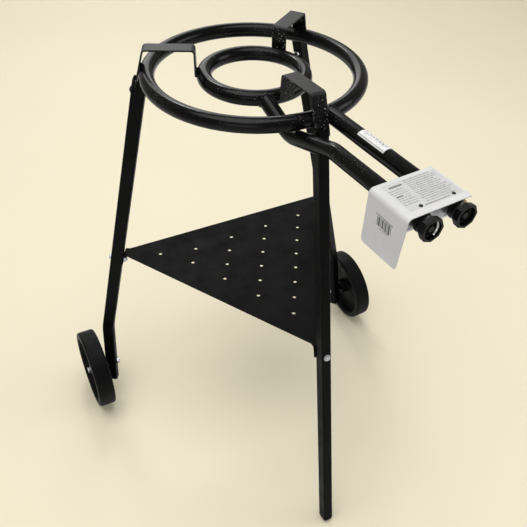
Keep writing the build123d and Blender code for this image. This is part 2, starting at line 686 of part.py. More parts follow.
def gas_manifold():
    manifold = manifold_rod(-52, MANIFOLD_END, MANIFOLD_R)
    manifold = manifold - manifold_rod(-49, MANIFOLD_END - 3, MANIFOLD_R - 2)
    manifold = manifold - manifold_rod(40, MANIFOLD_END + 1, BRANCH_R)
    for x in (-PIPE_X, PIPE_X):
        manifold = manifold - rod((x, VALVE_Y, -10.0), (x, VALVE_Y, -20.0), BRANCH_R)
    return biggest(manifold)


def hose_nozzle():
    nozzle = manifold_rod(42, MANIFOLD_END, BRANCH_R)
    nozzle = nozzle + hex_bar((MANIFOLD_END, VALVE_Y, MANIFOLD_Z), (53, VALVE_Y, MANIFOLD_Z), 17.0)
    nozzle = nozzle + manifold_rod(53, NOZZLE_TIP, 5.0)
    nozzle = nozzle - manifold_rod(41, NOZZLE_TIP + 1, 3.0)
    tip = [e for e in nozzle.edges() if e.geom_type == GeomType.CIRCLE
           and abs(e.center().X - NOZZLE_TIP) < 0.01 and e.radius > 4]
    return biggest(chamfer(tip, 0.8))


save("gas_manifold", CONTROL_FRAME, gas_manifold())
save("hose_nozzle", CONTROL_FRAME, hose_nozzle())

# ------------------------------------------------------------------- valves
BODY = 24                # valve body cube
BODY_FRONT, BODY_BACK = VALVE_Y - BODY / 2, VALVE_Y + BODY / 2
PLUG_R = 6.0
STEM_R = 4.0
FIT = 0.05               # radial clearance of moving parts
GLAND_Y = -466.0         # rear end of the collar's spigot
GLAND_R = 7.5
PORT_Y = -454.8          # cross ports in body and plug
STEM_Y = -472.5          # rear end of the spindle's stem
STEM_TIP = -495.5
JET_Y = -433.0           # start of the injector's taper
KNOB_BACK = -482.5
KNOB_FRONT = -507.5
# knob skirt: radius, y, corner radius
SKIRT_PROFILE = [(0, KNOB_BACK, 0), (14.2, KNOB_BACK, 0.8), (15.0, -486.4, 0.9),
                 (14.2, -488.2, 0.8), (14.2, -495.0, 0), (0, -495.0, 0)]
# hollow in the knob's front: radius, y, corner radius
DISH_PROFILE = [(0, KNOB_FRONT - 1, 0), (14.6, KNOB_FRONT - 1, 0), (13.2, KNOB_FRONT + 8.5, 2.5),
                (5.6, KNOB_FRONT + 8.5, 1.0), (5.0, KNOB_FRONT + 3.5, 1.0),
                (0, KNOB_FRONT + 3.5, 0)]


def valve_body(x):
    body = Pos(x, VALVE_Y, 0) * Box(BODY, BODY, BODY)
    body = fillet(body.edges().filter_by(Axis.Y), 3.0)
    body = body + rod((x, VALVE_Y, -11.0), (x, VALVE_Y, -19.0), BRANCH_R)
    body = bored(body, x, [(-451.0, -471.0, PLUG_R + FIT), (GLAND_Y, -471.0, GLAND_R),
                           (-445.0, -452.0, 2.5)])
    body = body - rod((x, PORT_Y, -5.0), (x, PORT_Y, -20.0), 2.0)
    return biggest(bored(body, x, [(-440.0, -448.0, 4.0)]))


def valve_collar(x):
    """Spigot in the body, shoulder behind the channel and neck through it."""
    collar = fused(x, [(GLAND_Y, BODY_FRONT, GLAND_R), (BODY_FRONT, PANEL_BACK, 10.0),
                       (PANEL_BACK, PANEL_Y, NECK_R)])
    return biggest(bored(collar, x, [(-465.0, STEM_Y, PLUG_R + FIT),
                                     (-472.0, -480.0, STEM_R + FIT)]))


def injector(x):
    jet = y_rod(x, -448.0, BODY_BACK, 4.0)
    jet = jet + hex_bar((x, BODY_BACK, 0), (x, -440.0, 0), 11.0)
    jet = jet + y_rod(x, -440.0, JET_Y, 4.0)
    jet = jet + Plane(origin=(x, JET_Y, 0), z_dir=(0, 1, 0)) * Pos(0, 0, 3) * Cone(4.0, 2.2, 6)
    return biggest(bored(jet, x, [(-449, -434, 2.4), (-436, -426, 0.6)]))


def valve_plug(x):
    """Hollow plug with one side port and a slot for the spindle's blade."""
    plug = bored(y_rod(x, -451.2, -464.0, PLUG_R), x, [(-450, -456.5, 2.0)])
    plug = plug - rod((x, PORT_Y, 0), (x - 7, PORT_Y, 0), 1.75)
    return biggest(plug - Pos(x, -461.3, 0) * Box(2.6, 5.6, 14))


def stem_flat(x):
    """Block that takes the flat off the top of the stem."""
    return Pos(x, -491.0, 6.0) * Box(12, 10, 6)


def spindle(x):
    shape = fused(x, [(-471.0, STEM_Y, 5.5), (STEM_Y, STEM_TIP, STEM_R)])
    shape = shape + Pos(x, -466.6, 0) * Box(2.5, 9.2, 7.0)
    return biggest(shape - stem_flat(x))


def spindle_spring(x):
    helix = front_plane(x, -464.5) * Helix(pitch=1.95, height=5.9, radius=4.85)
    edge = helix.edges()[0]
    section = Plane(origin=edge @ 0, z_dir=edge % 0) * Circle(0.42)
    return biggest(sweep(section, path=Wire([edge]), is_frenet=True))


def turned(x, profile):
    plane = Plane(origin=(x, 0, 0), x_dir=(1, 0, 0), z_dir=(0, 0, 1))
    return revolve(plane * rounded(profile), Axis((x, 0, 0), (0, 1, 0)))


def octagon(x, y, across):
    sketch = RegularPolygon(across / 2, 8, major_radius=False)
    return front_plane(x, y) * fillet(sketch.vertices(), 2.4)


def knob(x):
    """Round skirt and an eight-sided flare with a dished front."""
    flare = loft([octagon(x, -489.5, 26.0), octagon(x, -498.0, 34.4)])
    flare = flare + loft([octagon(x, -498.0, 34.4), octagon(x, KNOB_FRONT, 35.6)])
    shape = turned(x, SKIRT_PROFILE) + flare
    front_edges = [e for e in shape.edges() if abs(e.center().Y - KNOB_FRONT) < 0.01]
    shape = fillet(front_edges, 1.3) - turned(x, DISH_PROFILE)
    return biggest(shape - (y_rod(x, -480, STEM_TIP, STEM_R) - stem_flat(x)))


save("valve_collars", CONTROL_FRAME, valve_collar(-PIPE_X), valve_collar(PIPE_X))
save("injectors", CONTROL_FRAME, injector(-PIPE_X), injector(PIPE_X))
for build in (valve_body, valve_plug, spindle, spindle_spring, knob):
    for x, name in ((-PIPE_X, "left"), (PIPE_X, "right")):
        save(f"{build.__name__}_{name}", CONTROL_FRAME, build(x))
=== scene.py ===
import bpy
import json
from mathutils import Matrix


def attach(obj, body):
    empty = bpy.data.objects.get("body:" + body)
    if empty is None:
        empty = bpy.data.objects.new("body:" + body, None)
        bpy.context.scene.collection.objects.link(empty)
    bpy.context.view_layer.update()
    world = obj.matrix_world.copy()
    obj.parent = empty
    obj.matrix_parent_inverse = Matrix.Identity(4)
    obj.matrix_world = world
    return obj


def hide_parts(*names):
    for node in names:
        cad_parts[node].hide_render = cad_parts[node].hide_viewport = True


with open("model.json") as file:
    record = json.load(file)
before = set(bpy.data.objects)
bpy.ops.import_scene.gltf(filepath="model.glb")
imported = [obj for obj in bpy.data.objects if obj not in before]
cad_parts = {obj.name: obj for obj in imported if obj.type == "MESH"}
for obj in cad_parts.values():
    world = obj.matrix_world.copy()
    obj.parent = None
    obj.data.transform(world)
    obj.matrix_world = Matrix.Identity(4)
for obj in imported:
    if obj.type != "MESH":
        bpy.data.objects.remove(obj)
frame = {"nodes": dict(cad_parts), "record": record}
# A two-ring gas burner on a wheeled stand: two concentric ring pipes carried high on
# brackets, with feed pipes running forward to a control box with two knobs.
# Metres, +Z up, floor at z = 0. The knobs face -Y (front), the wheels are at the back (+Y),
# and +X is on the right as seen from the front.
import json
import math
import random

import bmesh
import bpy
from mathutils import Matrix, Vector

random.seed(7)
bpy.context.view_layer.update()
NODES = frame["nodes"]
scene = bpy.context.scene

# ------------------------------------------------------------------ driving dimensions
RING_AXIS = Vector((-0.0062, 0.1283, 0))     # where the rings' vertical axis meets the floor
RING_Z = 0.860                               # height of the outer ring and pipe axes
BOX_TURN = math.radians(4.5)                 # pipes and control box turned about the ring axis
OUTER_R, INNER_R = 0.1865, 0.0883            # ring centrelines
INNER_DROP = -0.0044                         # inner ring, relative to RING_Z
PIPE_R = 0.01345                             # outside radius of rings and pipes
PIPE_X = 0.030                               # each pipe and knob, left or right of the middle


def ring_frame(x, y, z):
    """Metres in the turned frame on the ring axis, z = 0 on the pipe axes."""
    cos, sin = math.cos(BOX_TURN), math.sin(BOX_TURN)
    return Vector((x * cos - y * sin, x * sin + y * cos, z + RING_Z)) + RING_AXIS


def box_mm(x, y, z):
    """The same turned frame, in millimetres."""
    return ring_frame(x / 1000, y / 1000, z / 1000)


def steps(first, last, spans):
    """Evenly spaced values, both ends included."""
    return [first + (last - first) * i / spans for i in range(spans + 1)]


# ------------------------------------------------------------------ material tools
def srgb(value):
    value = value / 255.0
    return value / 12.92 if value <= 0.04045 else ((value + 0.055) / 1.055) ** 2.4


def grey(level, blue=0):
    """Grey from an 8-bit sRGB level, with an optional lift in blue."""
    return (srgb(level), srgb(level), srgb(min(255, level + blue)), 1)


def tone(color, factor):
    return tuple(min(1, c * factor) for c in color[:3]) + (1,)


class Mat:
    """A small node-graph builder around one Principled shader, in object coordinates."""

    def __init__(self, name):
        self.material = bpy.data.materials.new(name)
        self.material.use_nodes = True
        self.tree = self.material.node_tree
        self.tree.nodes.clear()
        output = self.node("ShaderNodeOutputMaterial")
        self.shader = self.node("ShaderNodeBsdfPrincipled")
        self.feed(output.inputs[0], self.shader.outputs[0])
        self.coords = self.node("ShaderNodeTexCoord").outputs["Object"]

    def node(self, kind, **props):
        node = self.tree.nodes.new(kind)
        for key, value in props.items():
            setattr(node, key, value)
        return node

    def feed(self, socket, value):
        """Link an output socket, or set a plain value."""
        if hasattr(value, "is_linked"):
            self.tree.links.new(value, socket)
        else:
            socket.default_value = value

    def noise(self, scale, detail, rough, distortion=0.0):
        node = self.node("ShaderNodeTexNoise")
        self.feed(node.inputs["Scale"], scale)
        self.feed(node.inputs["Detail"], detail)
        self.feed(node.inputs["Roughness"], rough)
        self.feed(node.inputs["Distortion"], distortion)
        self.feed(node.inputs["Vector"], self.coords)
        return node.outputs["Fac"]

    def voronoi(self, scale, feature="F1", output="Distance"):
        node = self.node("ShaderNodeTexVoronoi", feature=feature)
        self.feed(node.inputs["Scale"], scale)
        self.feed(node.inputs["Vector"], self.coords)
        return node.outputs[output]

    def mottle(self, noise, dark, light, span=(0.3, 0.7)):
        """Colour wandering between two tones as the noise crosses the span."""
        node = self.node("ShaderNodeValToRGB")
        for element, position, color in zip(node.color_ramp.elements, span, (dark, light)):
            element.position = position
            element.color = color
        self.feed(node.inputs[0], noise)
        return node.outputs[0]

    def remap(self, value, span, to):
        node = self.node("ShaderNodeMapRange")
        for socket, item in zip(node.inputs, (value, *span, *to)):
            self.feed(socket, item)
        return node.outputs[0]

    def arithmetic(self, operation, a, b):
        node = self.node("ShaderNodeMath", operation=operation)
        self.feed(node.inputs[0], a)
        self.feed(node.inputs[1], b)
        return node.outputs[0]

    def multiply(self, a, b):
        return self.arithmetic("MULTIPLY", a, b)

    def add(self, a, b):
        return self.arithmetic("ADD", a, b)

    def mix(self, factor, a, b):
        node = self.node("ShaderNodeMix", data_type="RGBA")
        for index, value in ((0, factor), (6, a), (7, b)):
            self.feed(node.inputs[index], value)
        return node.outputs[2]

    def round_normal(self, radius):
        node = self.node("ShaderNodeBevel", samples=4)
        self.feed(node.inputs["Radius"], radius)
        return node.outputs[0]

    def edges(self, radius=0.0012):
        """1 on sharp edges, 0 on flats."""
        rounded = self.round_normal(radius)
        geometry = self.node("ShaderNodeNewGeometry")
        dot = self.node("ShaderNodeVectorMath", operation="DOT_PRODUCT")
        self.feed(dot.inputs[0], rounded)
        self.feed(dot.inputs[1], geometry.outputs["Normal"])
        return self.remap(dot.outputs["Value"], span=(0.985, 0.80), to=(0.0, 1.0))

    def worn_edges(self, scale, span, amount, radius=0.0012):
        """Edge mask broken up by noise."""
        breakup = self.noise(scale, detail=5, rough=0.7)
        return self.multiply(self.edges(radius), self.remap(breakup, span, to=(0.0, amount)))

    def dust(self, coarse, fine, span, amount):
        return self.remap(self.multiply(coarse, fine), span, to=(0.0, amount))

    def bump(self, height, strength, distance, normal=None):
        node = self.node("ShaderNodeBump")
        self.feed(node.inputs["Strength"], strength)
        self.feed(node.inputs["Distance"], distance)
        self.feed(node.inputs["Height"], height)
        if normal is not None:
            self.feed(node.inputs["Normal"], normal)
        return node.outputs[0]

    def done(self, color, rough, normal, metallic=0.0, coat=0.0, spec=0.5):
        values = {"Base Color": color, "Roughness": rough, "Metallic": metallic,
                  "Coat Weight": coat, "Coat Roughness": 0.1,
                  "Specular IOR Level": spec, "Normal": normal}
        for key, value in values.items():
            self.feed(self.shader.inputs[key], value)
        return self.material


# ------------------------------------------------------------------ materials
def black_paint(name, base, worn, gloss, peel, wear, spec, dust, glint_specks=0.0):
    """Paint with orange peel, dust, worn edges and optional pale dots painted in as glints."""
    m = Mat(name)
    color = m.mottle(m.noise(scale=9, detail=5, rough=0.6), tone(base, 0.7), tone(base, 1.35),
                     span=(0.25, 0.75))
    dusty = m.dust(m.noise(scale=55, detail=6, rough=0.7),
                   m.noise(scale=900, detail=2, rough=0.5), span=(0.24, 0.44), amount=dust)
    color = m.mix(dusty, color, grey(110))
    # Painted glints: pale dots in patches stand in for sparkle highlights on the enamel.
    if glint_specks:
        glint_dots = m.remap(m.voronoi(scale=300), span=(0.0, 0.17), to=(glint_specks, 0.0))
        areas = m.remap(m.noise(scale=38, detail=4, rough=0.6), span=(0.5, 0.62), to=(0.0, 1.0))
        color = m.mix(m.multiply(glint_dots, areas), color, grey(235))
    bare = m.worn_edges(scale=70, span=(0.45, 0.62), amount=wear)
    color = m.mix(bare, color, worn)
    rough = m.remap(m.noise(scale=24, detail=5, rough=0.6), span=(0.3, 0.7),
                    to=(gloss * 0.75, gloss * 1.3))
    rough = m.add(rough, m.multiply(bare, 0.2))
    normal = m.bump(m.noise(scale=380, detail=3, rough=0.6), strength=peel, distance=0.0004,
                    normal=m.round_normal(0.0006))
    normal = m.bump(m.noise(scale=60, detail=3, rough=0.5), strength=0.08, distance=0.001,
                    normal=normal)
    return m.done(color, rough, normal, spec=spec)


def hammered(name):
    """Black hammered enamel: glossy beads, a painted sheen lightening the upward faces and painted
    glints on the upright faces.
    """
    m = Mat(name)
    beads = m.voronoi(scale=260, feature="SMOOTH_F1")
    lumps = m.noise(scale=330, detail=2, rough=0.5, distortion=0.6)
    geometry = m.node("ShaderNodeNewGeometry")
    axes = m.node("ShaderNodeSeparateXYZ")
    m.feed(axes.inputs[0], geometry.outputs["Normal"])
    upward = m.remap(axes.outputs[2], span=(0.55, 0.9), to=(0.0, 1.0))
    # Painted sheen: faces turned upward take a lighter grey than the upright sides.
    side = m.mottle(m.noise(scale=14, detail=5, rough=0.6), grey(9), grey(14))
    flat = m.mottle(m.noise(scale=18, detail=5, rough=0.6), grey(40), grey(50))
    # Painted glints: pale dots in patches, mostly on the upright faces.
    painted_glints = m.remap(m.voronoi(scale=270), span=(0.0, 0.27), to=(1.0, 0.0))
    areas = m.remap(m.noise(scale=120, detail=3, rough=0.6), span=(0.44, 0.54), to=(0.0, 1.0))
    painted_glints = m.multiply(painted_glints, areas)
    painted_glints = m.multiply(painted_glints, m.remap(upward, span=(0.0, 1.0), to=(1.0, 0.04)))
    color = m.mix(painted_glints, m.mix(upward, side, flat), grey(215))
    color = m.mix(m.worn_edges(scale=60, span=(0.42, 0.6), amount=0.5), color, grey(125))
    normal = m.bump(m.add(m.multiply(beads, 0.8), lumps),
                    strength=m.remap(upward, span=(0.0, 1.0), to=(0.75, 0.08)),
                    distance=0.0012, normal=m.round_normal(0.0006))
    rough = m.remap(upward, span=(0.0, 1.0), to=(0.22, 0.5))
    return m.done(color, rough, normal, spec=0.22)


def metal(name, base, rough, spangle=0.0, stain=0.25, tint=grey(90)):
    """Bare or plated metal, stained in patches, with optional zinc spangle."""
    m = Mat(name)
    color = m.mottle(m.noise(scale=40, detail=5, rough=0.6), tone(base, 0.8), base)
    if spangle:
        flakes = m.node("ShaderNodeSeparateColor")
        m.feed(flakes.inputs[0], m.voronoi(scale=95, output="Color"))
        shade = m.remap(flakes.outputs[0], span=(0.0, 1.0), to=(0.0, spangle))
        color = m.mix(shade, color, grey(120, blue=6))
        rough = m.remap(flakes.outputs[1], span=(0.0, 1.0), to=(rough * 0.7, rough * 1.5))
    else:
        rough = m.remap(m.noise(scale=160, detail=4, rough=0.6), span=(0.3, 0.7),
                        to=(rough * 0.7, rough * 1.4))
    stains = m.remap(m.noise(scale=22, detail=6, rough=0.7), span=(0.55, 0.75), to=(0.0, stain))
    color = m.mix(stains, color, tint)
    color = m.mix(m.multiply(m.edges(0.0008), 0.4), color, grey(225))
    normal = m.bump(m.noise(scale=700, detail=3, rough=0.6), strength=0.12, distance=0.0003,
                    normal=m.round_normal(0.0004))
    return m.done(color, rough, normal, metallic=1.0)


def plastic(name, base, rough, grain=500, relief=0.15, worn=grey(70), edge=0.0008, dust=0.12,
            spec=0.5):
    """Moulded plastic: grain scale and relief, rounded edge radius, dust amount."""
    m = Mat(name)
    color = m.mottle(m.noise(scale=16, detail=5, rough=0.6), tone(base, 0.75), tone(base, 1.25))
    dusty = m.dust(m.noise(scale=30, detail=6, rough=0.7),
                   m.noise(scale=600, detail=3, rough=0.6), span=(0.2, 0.4), amount=dust)
    color = m.mix(dusty, color, grey(105))
    color = m.mix(m.worn_edges(scale=90, span=(0.45, 0.62), amount=0.45, radius=0.002),
                  color, worn)
    roughness = m.remap(m.noise(scale=40, detail=5, rough=0.6), span=(0.3, 0.7),
                        to=(rough * 0.8, min(1, rough * 1.25)))
    normal = m.bump(m.noise(scale=grain, detail=3, rough=0.6), strength=relief,
                    distance=0.0005, normal=m.round_normal(edge))
    return m.done(color, roughness, normal, spec=spec)


def white_enamel(name):
    m = Mat(name)
    color = m.mottle(m.noise(scale=12, detail=5, rough=0.6), grey(201), grey(209))
    dirt = m.dust(m.noise(scale=35, detail=7, rough=0.7),
                  m.noise(scale=280, detail=4, rough=0.6), span=(0.26, 0.45), amount=0.14)
    color = m.mix(dirt, color, grey(150))
    color = m.mix(m.worn_edges(scale=110, span=(0.5, 0.62), amount=0.5), color, grey(120))
    rough = m.remap(m.noise(scale=50, detail=4, rough=0.6), span=(0.3, 0.7), to=(0.28, 0.42))
    normal = m.bump(m.noise(scale=220, detail=3, rough=0.6), strength=0.06, distance=0.0005,
                    normal=m.round_normal(0.0004))
    return m.done(color, rough, normal, coat=0.05, spec=0.35)


def ink(name, level):
    m = Mat(name)
    color = m.mottle(m.noise(scale=600, detail=3, rough=0.7), grey(level),
                     grey(min(255, level + 30)), span=(0.35, 0.7))
    normal = m.bump(m.noise(scale=900, detail=2, rough=0.5), strength=0.05, distance=0.0002)
    return m.done(color, 0.5, normal)


def label_film():
    m = Mat("label film")
    color = m.mottle(m.noise(scale=90, detail=6, rough=0.7), grey(188), grey(197))
    normal = m.bump(m.noise(scale=300, detail=3, rough=0.6), strength=0.05, distance=0.0003)
    return m.done(color, 0.32, normal, coat=0.2)


def sticker_film():
    m = Mat("sticker")
    color = m.mottle(m.noise(scale=70, detail=6, rough=0.7), grey(205), grey(224))
    scuffs = m.remap(m.noise(scale=240, detail=6, rough=0.75), span=(0.62, 0.72),
                     to=(0.0, 0.45))
    color = m.mix(scuffs, color, grey(120))
    normal = m.bump(m.noise(scale=200, detail=3, rough=0.6), strength=0.08, distance=0.0003)
    return m.done(color, 0.4, normal)


def floor_paint():
    """Cream to the camera, neutral in the light it bounces."""
    m = Mat("floor")
    seen = m.mottle(m.noise(scale=0.8, detail=4, rough=0.5),
                    (0.80, 0.738, 0.56, 1), (0.83, 0.768, 0.585, 1))
    camera_ray = m.node("ShaderNodeLightPath").outputs["Is Camera Ray"]
    color = m.mix(camera_ray, (0.70, 0.69, 0.67, 1), seen)
    normal = m.bump(m.noise(scale=60, detail=4, rough=0.6), strength=0.03, distance=0.001)
    return m.done(color, 0.75, normal, spec=0.2)


MATS = {
    "burner_enamel": black_paint("burner enamel", grey(9), worn=grey(60), gloss=0.17,
                                 peel=0.28, glint_specks=0.6, wear=0.25, spec=0.17, dust=0.015),
    "bracket_enamel": hammered("bracket enamel"),
    "leg_paint": black_paint("leg paint", grey(9), worn=grey(50), gloss=0.42, peel=0.16,
                             wear=0.3, spec=0.07, dust=0.02),
    "shelf_paint": black_paint("shelf paint", grey(17), worn=grey(55), gloss=0.55, peel=0.14,
                               wear=0.35, spec=0.045, dust=0.02),
    "cap_plastic": plastic("cap plastic", grey(13), rough=0.5, dust=0.05, spec=0.2),
    "wheel_plastic": plastic("wheel plastic", grey(9), rough=0.46, grain=420, relief=0.22,
                             worn=grey(26), dust=0.025, spec=0.10),
    "bush_plastic": plastic("bush plastic", grey(185), rough=0.5, worn=grey(140)),
    "zinc": metal("zinc", grey(205, blue=4), rough=0.26, stain=0.3),
    "black_bolt": black_paint("black bolt", grey(12), worn=grey(90), gloss=0.3, peel=0.05,
                              wear=0.6, spec=0.3, dust=0.02),
    "galvanised": metal("galvanised", grey(185, blue=5), rough=0.34, spangle=0.45, stain=0.2),
    "white_enamel": white_enamel("white enamel"),
    "brass": metal("brass", (0.62, 0.42, 0.17, 1), rough=0.32, stain=0.35,
                   tint=(0.16, 0.10, 0.05, 1)),
    "spring_steel": metal("spring steel", grey(150), rough=0.35),
    "knob_plastic": plastic("knob plastic", grey(9), rough=0.3, grain=700, relief=0.07,
                            worn=grey(60), edge=0.0006, dust=0.015, spec=0.2),
}


def paint_cad():
    slot_of = {part["node"]: part["material_slot"] for part in frame["record"]["subparts"]}
    for name, obj in NODES.items():
        material = MATS[slot_of[name]]
        slots = obj.data.materials
        if not slots:
            slots.append(material)
        for i in range(len(slots)):
            slots[i] = material


# ------------------------------------------------------------------ mesh tools
def mesh_obj(name, verts, faces, material, body, smooth=True):
    mesh = bpy.data.meshes.new(name)
    mesh.from_pydata([tuple(v) for v in verts], [], faces)
    mesh.validate()
    mesh.update()
    if smooth:
        for face in mesh.polygons:
            face.use_smooth = True
    obj = bpy.data.objects.new(name, mesh)
    scene.collection.objects.link(obj)
    mesh.materials.append(material)
    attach(obj, body)
    return obj


def card(name, quads, material, body="stand"):
    """Separate flat quads, each four points in order."""
    verts = [point for quad in quads for point in quad]
    faces = [(i, i + 1, i + 2, i + 3) for i in range(0, len(verts), 4)]
    return mesh_obj(name, verts, faces, material, body, smooth=False)


def band_faces(bands, loops, seg):
    """Quads between successive closed loops of seg points, wrapping past the last loop."""
    faces = []
    for i in range(bands):
        here, there = i * seg, (i + 1) % loops * seg
        for j in range(seg):
            after = (j + 1) % seg
            faces.append((here + j, here + after, there + after, there + j))
    return faces


def tube(path, radius, closed, ripple, seed, seg=10, period=0.0035):
    """Bead swept along points, rippled along its length; open ends taper."""
    draw = random.Random(seed)
    count = len(path)
    verts = []
    travelled = 0.0
    for i, point in enumerate(path):
        before = path[i - 1] if (closed or i) else path[0]
        after = path[(i + 1) % count] if (closed or i < count - 1) else path[-1]
        along = (after - before).normalized()
        if i:
            travelled += (point - path[i - 1]).length
        reference = Vector((0, 0, 1)) if abs(along.z) < 0.9 else Vector((1, 0, 0))
        side = along.cross(reference).normalized()
        up = side.cross(along)
        wave = ripple * math.sin(2 * math.pi * travelled / period)
        local = radius * (1 + wave + draw.uniform(-0.08, 0.08))
        if not closed:
            from_end = min(i, count - 1 - i) / max(1, (count - 1) / 2)
            local *= 0.25 + 0.75 * math.sqrt(min(1, from_end * 2.2))
        for j in range(seg):
            angle = 2 * math.pi * j / seg
            verts.append(point + side * (local * math.cos(angle)) + up * (local * math.sin(angle)))
    faces = band_faces(count if closed else count - 1, count, seg)
    if not closed:
        faces.append(tuple(range(seg - 1, -1, -1)))
        faces.append(tuple((count - 1) * seg + j for j in range(seg)))
    return verts, faces


# ------------------------------------------------------------------ welds
WELD = black_paint("weld", grey(11), worn=grey(60), gloss=0.24, peel=0.3, glint_specks=0.4, wear=0.3,
                   spec=0.26, dust=0.02)


def weld(name, path, radius, seed, closed=False):
    verts, faces = tube(path, radius, closed, ripple=0.16 if closed else 0.18, seed=seed)
    mesh_obj(name, verts, faces, WELD, "stand")


def weld_outer_pipe():
    """Closed bead where the right pipe meets the front of the outer ring."""
    path = []
    for angle in steps(0, 2 * math.pi, 120)[:-1]:
        x = PIPE_X + PIPE_R * math.cos(angle)
        z = PIPE_R * math.sin(angle) * 0.999     # kept just inside the ring's own section
        surface = OUTER_R + math.sqrt(max(0, PIPE_R ** 2 - z ** 2))
        path.append(ring_frame(x, -math.sqrt(surface ** 2 - x ** 2), z))
    weld("weld_outer_pipe", path, radius=0.0021, seed=1, closed=True)


def weld_inner_pipe():
    """Closed bead where the left, sloping pipe meets the inner ring."""
    start_y, start_z = -0.0870475, -0.0064
    end_y, end_z = -0.166, -0.0345
    march_from, march_to, march_step = -0.004, 0.04, 0.0002
    start = Vector((-PIPE_X, start_y, start_z))
    along = Vector((0, end_y - start_y, end_z - start_z)).normalized()
    side = Vector((1, 0, 0))
    up = side.cross(along).normalized()
    path = []
    for angle in steps(0, 2 * math.pi, 110)[:-1]:
        offset = side * (PIPE_R * math.cos(angle)) + up * (PIPE_R * math.sin(angle))
        # march along this surface line until it leaves the ring's tube
        reach = march_from
        while reach < march_to:
            p = start + along * reach + offset
            if math.hypot(math.hypot(p.x, p.y) - INNER_R, p.z - INNER_DROP) >= PIPE_R:
                break
            reach += march_step
        path.append(ring_frame(*(start + along * reach + offset)))
    weld("weld_inner_pipe", path, radius=0.0020, seed=2, closed=True)


def weld_brackets():
    """Short beads along both edges of each bracket strip, and one across it."""
    bracket_azimuths = (275.6, 155.6, 38.2)
    edge_offset = 0.0143                  # bead to the strip's middle line
    edge_r = PIPE_R + 0.0004              # bead centre in the ring's section
    cross_half, cross_z = 0.0135, -0.0042
    # ring centreline, drop, first and last angle round the section in degrees
    rings = ((OUTER_R, 0.0, -8, 42), (INNER_R, INNER_DROP, 3, 24))
    number = 0
    for azimuth in bracket_azimuths:
        a = math.radians(azimuth)
        radial = Vector((math.cos(a), math.sin(a), 0))
        tangent = Vector((-math.sin(a), math.cos(a), 0))

        def place(reach, across, z):
            flat = math.sqrt(max(0, reach * reach - across * across))
            return RING_AXIS + radial * flat + tangent * across + Vector((0, 0, RING_Z + z))

        beads = []
        for across in (-edge_offset, edge_offset):
            for ring_r, drop, first, last in rings:
                angles = [math.radians(degrees) for degrees in steps(first, last, 15)]
                beads.append((0.0017, [place(ring_r + edge_r * math.cos(angle), across,
                                             drop + edge_r * math.sin(angle))
                                       for angle in angles]))
        beads.append((0.0014, [place(INNER_R + PIPE_R + 0.0003, across, cross_z)
                               for across in steps(-cross_half, cross_half, 15)]))
        for radius, path in beads:
            number += 1
            weld(f"weld_bracket_{number}", path, radius, seed=10 + number)


# ------------------------------------------------------------------ print on the control box
PRINT_Z, FILM_Z = 17.06, 17.03           # mm, just above the cover
# Blocks of broken lines, mm: each line starts up to `indent` in and ends up to `short` early.
PRINT_BLOCKS = (
    dict(lines=13, y=-417.5, pitch=4.35, left=-12, indent=3, right=46, short=12,
         dash=(1.2, 5.5), height=(1.3, 2.1), gap=(0.7, 1.6)),
    dict(lines=8, y=-430.0, pitch=4.8, left=-44, indent=2, right=-16, short=7,
         dash=(1.2, 4.5), height=(1.2, 1.9), gap=(0.8, 1.7)),
)
# Rows of dark blocks, mm: count, first x, pitch, width, y, height
DARK_ROWS = ((7, -37.5, 3.2, 2.5, -423.6, 3.6), (4, -42, 3.0, 2.2, -445.0, 2.4))
# Bars on the left side plate, mm: start y, width towards -y, two edge heights z
SIDE_BARS = (
    (-427.9, 36.4, -10.9, -9.6),
    (-431.5, 1.6, -13.0, -26.0), (-434.2, 3.6, -13.0, -27.5), (-439.3, 1.0, -13.0, -27.5),
    (-441.8, 3.2, -13.0, -27.5), (-446.4, 1.1, -13.0, -28.5), (-448.6, 2.8, -13.0, -29.0),
    (-452.8, 1.2, -13.0, -29.0), (-455.2, 3.4, -13.0, -29.5), (-460.0, 1.0, -13.0, -27.0),
    (-429.4, 4.0, -27.6, -26.8), (-437.0, 18.0, -31.0, -30.2),
)


def level_quad(x0, x1, y0, y1, z=PRINT_Z):
    return [box_mm(x0, y0, z), box_mm(x1, y0, z), box_mm(x1, y1, z), box_mm(x0, y1, z)]


def cover_print():
    """Broken dashes that only suggest small print."""
    draw = random.Random(5)
    rows = []
    for block in PRINT_BLOCKS:
        for line in range(block["lines"]):
            y = block["y"] - line * block["pitch"]
            x = block["left"] + draw.uniform(0, block["indent"])
            end = block["right"] - draw.uniform(0, block["short"]) - (6 if line > 10 else 0)
            while x < end:
                width = draw.uniform(*block["dash"])
                height = draw.uniform(*block["height"])
                rows.append(level_quad(x, min(x + width, end), y, y + height))
                x += width + draw.uniform(*block["gap"])
    darks = []
    for count, first, pitch, width, y, height in DARK_ROWS:
        for i in range(count):
            x = first + i * pitch
            darks.append(level_quad(x, x + width, y, y + height))
    x, end, y, height, gap = -18.0, 26, -475.4, 1.5, 0.8     # line below the blocks
    while x < end:
        width = draw.uniform(1.5, 4)
        darks.append(level_quad(x, x + width, y, y + height))
        x += width + gap
    card("print_rows", rows, ink("print grey", 122))
    card("print_dark", darks, ink("print dark", 62))


def cover_label():
    """Film patch under the print."""
    xs, ys = steps(-46, 48, 24), steps(-413.5, -478, 12)
    patch = [level_quad(x0, x1, y1, y0, FILM_Z)
             for x0, x1 in zip(xs, xs[1:]) for y0, y1 in zip(ys, ys[1:])]
    card("label_film", patch, label_film())


def side_mark():
    """Striped mark on the left side plate, leaning down towards the front."""
    x, slope = -60.06, 0.035
    bars = []
    for y, width, z0, z1 in SIDE_BARS:
        far, fall = y - width, width * slope
        bars.append([box_mm(x, y, z0), box_mm(x, far, z0 - fall),
                     box_mm(x, far, z1 - fall), box_mm(x, y, z1)])
    card("side_mark", bars, ink("print mid", 72))


